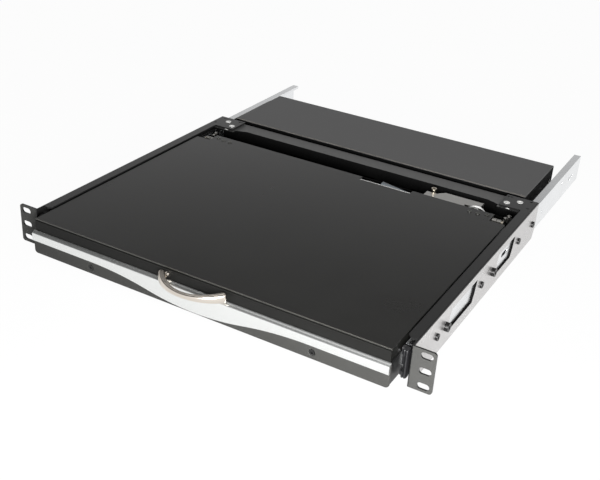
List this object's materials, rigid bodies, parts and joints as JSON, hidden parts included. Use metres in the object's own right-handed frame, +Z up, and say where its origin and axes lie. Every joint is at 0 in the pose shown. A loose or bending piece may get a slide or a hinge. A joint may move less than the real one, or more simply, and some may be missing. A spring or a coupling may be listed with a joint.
{
  "type": "rackmount lcd console drawer",
  "caption": "Low rack drawer on telescopic slides with a hinged display lid over a keyboard and touch pad, a bowed silver front trim and a bow handle.",
  "frame": {"origin": "middle of the six slots of the rack ears, on the ears' rear face that meets the rack post", "axes": "+X to the right seen from the front, +Y into the rack, +Z up"},
  "size_m": [0.4826, 0.569, 0.044],
  "materials": {
    "panel_paint": "black powder coat, semi-gloss",
    "rail_zinc": "bright zinc plate",
    "black_screw": "black zinc",
    "bright_screw": "bright zinc plate",
    "cross_paint": "black powder coat, semi-gloss",
    "box_paint": "black powder coat, satin",
    "board_green": "solder mask",
    "socket_metal": "nickel plate",
    "inlet_black": "moulded",
    "bumper_black": "moulded",
    "ball_steel": "polished steel",
    "tray_paint": "black powder coat, semi-gloss",
    "fascia_black": "fine matt paint",
    "trim_silver": "silver paint, satin",
    "deck_black": "fine grain",
    "key_black": "fine grain",
    "key_bed": "black",
    "touch_grey": "satin",
    "lid_paint": "black powder coat, semi-gloss",
    "bezel_black": "fine grain",
    "screen_black": "anti-glare film",
    "osd_black": "moulded",
    "handle_nickel": "satin nickel",
    "hinge_steel": "zinc plate",
    "pin_brass": "turned",
    "cable_grey": "flat cable jacket",
    "cover_zinc": "zinc plate",
    "lead_white": "PVC jacket"
  },
  "bodies": {
    "chassis": {"side_panel_left": "panel_paint", "side_panel_right": "panel_paint", "outer_rail_left": "rail_zinc", "outer_rail_right": "rail_zinc", "panel_screws_left": "black_screw", "panel_screws_right": "black_screw", "crossmember": "cross_paint", "gusset_screws": "bright_screw", "box_base": "box_paint", "box_cover": "box_paint", "box_board": "board_green", "video_connector": "socket_metal", "usb_ports": "socket_metal", "power_inlet": "inlet_black", "box_screws": "black_screw"},
    "outer_cage_left": {"outer_cage_left": "ball_steel"},
    "outer_cage_right": {"outer_cage_right": "ball_steel"},
    "middle_left": {"middle_rail_left": "rail_zinc", "middle_bumper_left": "bumper_black"},
    "middle_right": {"middle_rail_right": "rail_zinc", "middle_bumper_right": "bumper_black"},
    "inner_cage_left": {"inner_cage_left": "ball_steel"},
    "inner_cage_right": {"inner_cage_right": "ball_steel"},
    "drawer": {"tray": "tray_paint", "inner_rail_left": "rail_zinc", "inner_rail_right": "rail_zinc", "inner_rail_plugs": "bumper_black", "inner_rail_screws": "bright_screw", "front_fascia": "fascia_black", "bow_trim": "trim_silver", "fascia_screws": "black_screw", "keyboard_housing": "deck_black", "keyboard_plate": "key_bed", "touchpad": "touch_grey", "hinge_base_left": "hinge_steel", "hinge_base_right": "hinge_steel", "hinge_pins": "pin_brass", "cable_cover": "cover_zinc", "cover_standoff": "pin_brass", "white_lead": "lead_white"},
    "letter_keys": {"letter_keys": "key_black"},
    "function_keys": {"function_keys": "key_black"},
    "number_keys": {"number_keys": "key_black"},
    "space_bar": {"space_bar": "key_black"},
    "enter_key": {"enter_key": "key_black"},
    "touch_button_left": {"touch_button_left": "touch_grey"},
    "touch_button_right": {"touch_button_right": "touch_grey"},
    "lid": {"lid_cover": "lid_paint", "lid_bezel": "bezel_black", "lcd_panel": "screen_black", "hinge_leaf_left": "hinge_steel", "hinge_leaf_right": "hinge_steel", "hinge_screws": "black_screw", "handle": "handle_nickel", "flat_cable": "cable_grey"},
    "osd_menu": {"osd_button_menu": "osd_black"},
    "osd_down": {"osd_button_down": "osd_black"},
    "osd_up": {"osd_button_up": "osd_black"},
    "osd_power": {"osd_button_power": "osd_black"}
  },
  "joints": [
    {"name": "drawer_slide", "type": "slide", "parent": "chassis", "child": "drawer", "axis": [0, -1, 0], "range_m": [0, 0.3]},
    {"name": "outer_cage_left_slide", "type": "slide", "parent": "chassis", "child": "outer_cage_left", "axis": [0, -1, 0], "range_m": [0, 0.075]},
    {"name": "middle_left_slide", "type": "slide", "parent": "chassis", "child": "middle_left", "axis": [0, -1, 0], "range_m": [0, 0.15]},
    {"name": "inner_cage_left_slide", "type": "slide", "parent": "chassis", "child": "inner_cage_left", "axis": [0, -1, 0], "range_m": [0, 0.225]},
    {"name": "outer_cage_right_slide", "type": "slide", "parent": "chassis", "child": "outer_cage_right", "axis": [0, -1, 0], "range_m": [0, 0.075]},
    {"name": "middle_right_slide", "type": "slide", "parent": "chassis", "child": "middle_right", "axis": [0, -1, 0], "range_m": [0, 0.15]},
    {"name": "inner_cage_right_slide", "type": "slide", "parent": "chassis", "child": "inner_cage_right", "axis": [0, -1, 0], "range_m": [0, 0.225]},
    {"name": "lid_hinge", "type": "hinge", "parent": "drawer", "child": "lid", "pos_m": [0, 0.28, 0.014], "axis": [-1, 0, 0], "range_deg": [0, 110]},
    {"name": "letter_keys_press", "type": "slide", "parent": "drawer", "child": "letter_keys", "axis": [0, 0, -1], "range_m": [0, 0.0025], "stiffness_N_per_m": 900, "springref_m": -0.001},
    {"name": "function_keys_press", "type": "slide", "parent": "drawer", "child": "function_keys", "axis": [0, 0, -1], "range_m": [0, 0.0025], "stiffness_N_per_m": 500, "springref_m": -0.001},
    {"name": "number_keys_press", "type": "slide", "parent": "drawer", "child": "number_keys", "axis": [0, 0, -1], "range_m": [0, 0.0025], "stiffness_N_per_m": 500, "springref_m": -0.001},
    {"name": "space_bar_press", "type": "slide", "parent": "drawer", "child": "space_bar", "axis": [0, 0, -1], "range_m": [0, 0.0025], "stiffness_N_per_m": 400, "springref_m": -0.001},
    {"name": "enter_key_press", "type": "slide", "parent": "drawer", "child": "enter_key", "axis": [0, 0, -1], "range_m": [0, 0.0025], "stiffness_N_per_m": 300, "springref_m": -0.001},
    {"name": "touch_button_left_press", "type": "slide", "parent": "drawer", "child": "touch_button_left", "axis": [0, 0, -1], "range_m": [0, 0.0006], "stiffness_N_per_m": 600, "springref_m": -0.0006},
    {"name": "touch_button_right_press", "type": "slide", "parent": "drawer", "child": "touch_button_right", "axis": [0, 0, -1], "range_m": [0, 0.0006], "stiffness_N_per_m": 600, "springref_m": -0.0006},
    {"name": "osd_menu_press", "type": "slide", "parent": "lid", "child": "osd_menu", "axis": [0, 0, 1], "range_m": [0, 0.0005], "stiffness_N_per_m": 600, "springref_m": -0.0006},
    {"name": "osd_down_press", "type": "slide", "parent": "lid", "child": "osd_down", "axis": [0, 0, 1], "range_m": [0, 0.0005], "stiffness_N_per_m": 600, "springref_m": -0.0006},
    {"name": "osd_up_press", "type": "slide", "parent": "lid", "child": "osd_up", "axis": [0, 0, 1], "range_m": [0, 0.0005], "stiffness_N_per_m": 600, "springref_m": -0.0006},
    {"name": "osd_power_press", "type": "slide", "parent": "lid", "child": "osd_power", "axis": [0, 0, 1], "range_m": [0, 0.0005], "stiffness_N_per_m": 600, "springref_m": -0.0006}
  ],
  "couplings": [
    {"joint": "outer_cage_left_slide", "follows": "drawer_slide", "ratio": 0.25},
    {"joint": "middle_left_slide", "follows": "drawer_slide", "ratio": 0.5},
    {"joint": "inner_cage_left_slide", "follows": "drawer_slide", "ratio": 0.75},
    {"joint": "outer_cage_right_slide", "follows": "drawer_slide", "ratio": 0.25},
    {"joint": "middle_right_slide", "follows": "drawer_slide", "ratio": 0.5},
    {"joint": "inner_cage_right_slide", "follows": "drawer_slide", "ratio": 0.75}
  ]
}
